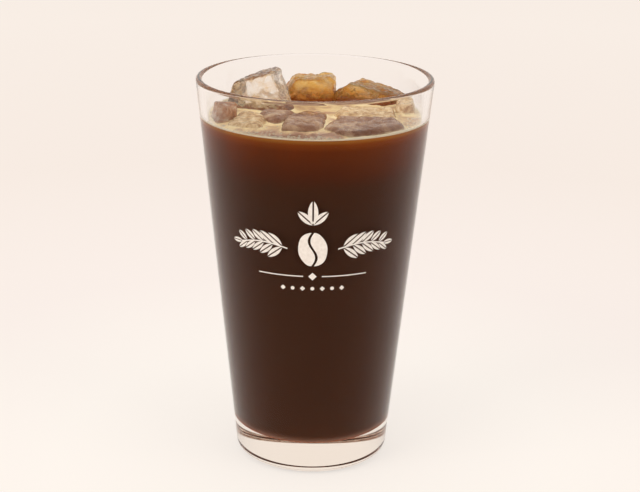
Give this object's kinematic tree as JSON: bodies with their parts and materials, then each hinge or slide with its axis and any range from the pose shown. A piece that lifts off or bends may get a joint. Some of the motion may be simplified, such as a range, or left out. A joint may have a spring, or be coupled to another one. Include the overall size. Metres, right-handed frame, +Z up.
{
  "type": "glass of iced coffee",
  "caption": "Straight-sided pint glass of black iced coffee, with a thin crema and melting ice that stands out of the top.",
  "frame": {"origin": "middle of the ring that the glass stands on, on its axis, at table height", "axes": "+Z up along the glass's axis; -Y is the front, the side that carries the printed motif; +X to the right seen from the front"},
  "size_m": [0.0888, 0.0888, 0.151],
  "materials": {
    "glass": "clear fire-polished soda-lime glass",
    "coffee": "black coffee, clear dark brown liquid with a wet gloss",
    "crema": "thin pale tan foam",
    "ice": "wet, part-clouded, melting ice",
    "print": "fired white ceramic ink"
  },
  "bodies": {
    "root": {"glass": "glass", "coffee": "coffee", "crema": "crema", "ice_tall": "ice", "ice_left": "ice", "ice_left_low": "ice", "ice_middle": "ice", "ice_front": "ice", "ice_right_slab": "ice", "ice_right_bar": "ice", "ice_right": "ice", "ice_back": "ice", "ice_back_right": "ice"}
  },
  "joints": []
}
